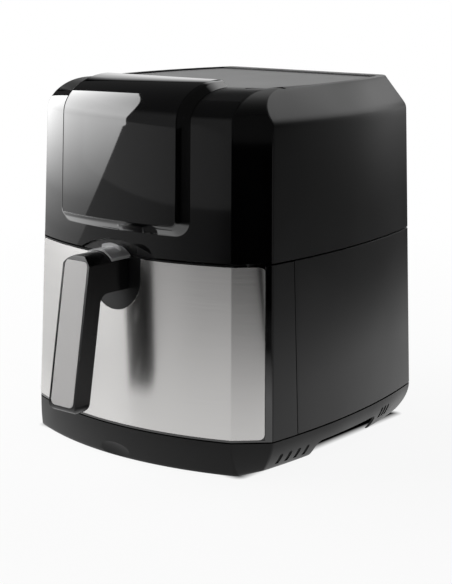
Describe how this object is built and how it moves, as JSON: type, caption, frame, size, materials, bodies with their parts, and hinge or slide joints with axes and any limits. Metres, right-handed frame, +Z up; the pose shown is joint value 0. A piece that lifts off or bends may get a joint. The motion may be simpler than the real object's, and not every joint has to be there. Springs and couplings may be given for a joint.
{
  "type": "air fryer",
  "caption": "Air fryer with tapered black housing, raised glass touch console, brushed steel pull-out drawer, hanging handle with sliding button cover, and basket in a pan.",
  "frame": {"origin": "bottom centre of the whole object's bounding box, on the table", "axes": "+Z up, -Y forward (drawer and handle), +Y to the flat back, X across the width"},
  "size_m": [0.292, 0.3464, 0.3315],
  "materials": {
    "housing_black": "smooth black moulding, polished front running into satin sides",
    "console_black": "high gloss black bezel",
    "display_glass": "opaque black glass, polished, blank",
    "top_plate_grey": "fine satin grey",
    "base_black": "satin black moulding",
    "sheet_steel": "zinc plated sheet",
    "rubber_black": "matt",
    "screw_steel": "zinc plated",
    "aluminised_sheet": "bright aluminised sheet",
    "inner_plastic": "matt black heat-resistant moulding",
    "element_steel": "dull oxide-grey sheath",
    "bush_ceramic": "unglazed off-white ceramic",
    "wire_steel": "bright wire",
    "motor_iron": "laminated stack with pressed end bells",
    "bearing_bronze": "oiled bronze",
    "fan_aluminium": "pressed sheet",
    "nut_brass": "turned",
    "shaft_steel": "ground",
    "board_green": "solder-masked board with parts",
    "board_brown": "phenolic board with parts",
    "carrier_white": "natural moulding",
    "sensor_steel": "drawn sleeve",
    "front_black": "satin black moulding",
    "brushed_skin": "brushed across the width",
    "handle_black": "semi-gloss black moulding",
    "nonstick_coating": "dark non-stick coating on steel",
    "silicone_grey": "food-grade silicone",
    "strap_steel": "satin",
    "inlay_silver": "fine satin silver",
    "lever_white": "acetal moulding",
    "button_grey": "satin dark grey",
    "spring_steel": "music wire",
    "clear_cover": "clear polycarbonate"
  },
  "bodies": {
    "body": {"upper_housing": "housing_black", "console_panel": "console_black", "display_glass": "display_glass", "top_plate": "top_plate_grey", "lower_body": "housing_black", "base": "base_black", "bottom_plate": "sheet_steel", "rubber_feet": "rubber_black", "base_screws": "screw_steel", "front_frame": "housing_black", "chamber_liner": "aluminised_sheet", "drawer_rails": "sheet_steel", "deck": "inner_plastic", "heat_dome": "aluminised_sheet", "heating_element": "element_steel", "element_bushes": "bush_ceramic", "guard_grille": "wire_steel", "motor_bracket": "sheet_steel", "motor": "motor_iron", "motor_bearings": "bearing_bronze", "motor_screws": "screw_steel", "exhaust_duct": "sheet_steel", "rear_grille": "inner_plastic", "display_board": "board_green", "power_board": "board_brown", "board_carrier": "carrier_white", "temperature_sensor": "sensor_steel", "thermal_fuse": "bush_ceramic", "drawer_switch": "inner_plastic", "cord_gland": "rubber_black"},
    "rotor": {"motor_shaft": "shaft_steel", "convection_fan": "fan_aluminium", "fan_nut": "nut_brass", "cooling_fan": "fan_aluminium"},
    "drawer": {"drawer_front": "front_black", "steel_skin": "brushed_skin", "drawer_panel": "inner_plastic", "handle_socket": "handle_black", "pan": "nonstick_coating", "pan_brackets": "sheet_steel", "basket": "nonstick_coating", "crisper_plate": "nonstick_coating", "crisper_bumpers": "silicone_grey", "basket_strap": "strap_steel", "handle_shell": "handle_black", "handle_back": "handle_black", "handle_inlay": "inlay_silver", "handle_screws": "screw_steel", "latch_bracket": "sheet_steel", "latch_pin": "shaft_steel", "pan_catch": "sheet_steel", "button_spring": "spring_steel", "drawer_screws": "screw_steel"},
    "button_cover": {"button_cover": "clear_cover"},
    "release_button": {"release_button": "button_grey"},
    "latch_lever": {"latch_lever": "lever_white"}
  },
  "joints": [
    {"name": "fan_spin", "type": "hinge", "parent": "body", "child": "rotor", "pos_m": [0, 0.045, 0.25], "axis": [0, 0, 1], "continuous": true},
    {"name": "drawer_slide", "type": "slide", "parent": "body", "child": "drawer", "axis": [0, -1, 0], "range_m": [0, 0.24]},
    {"name": "cover_slide", "type": "slide", "parent": "drawer", "child": "button_cover", "axis": [0, -1, 0], "range_m": [0, 0.021]},
    {"name": "button_press", "type": "slide", "parent": "drawer", "child": "release_button", "axis": [0, 0, -1], "range_m": [0, 0.003], "stiffness_N_per_m": 900, "springref_m": -0.001, "deforming": ["button_spring"]},
    {"name": "latch_pivot", "type": "hinge", "parent": "drawer", "child": "latch_lever", "pos_m": [0, -0.09443, 0.164], "axis": [1, 0, 0], "range_deg": [0, 8.5]}
  ],
  "couplings": [
    {"joint": "latch_pivot", "follows": "button_press", "rad_per_m": 47.619}
  ]
}
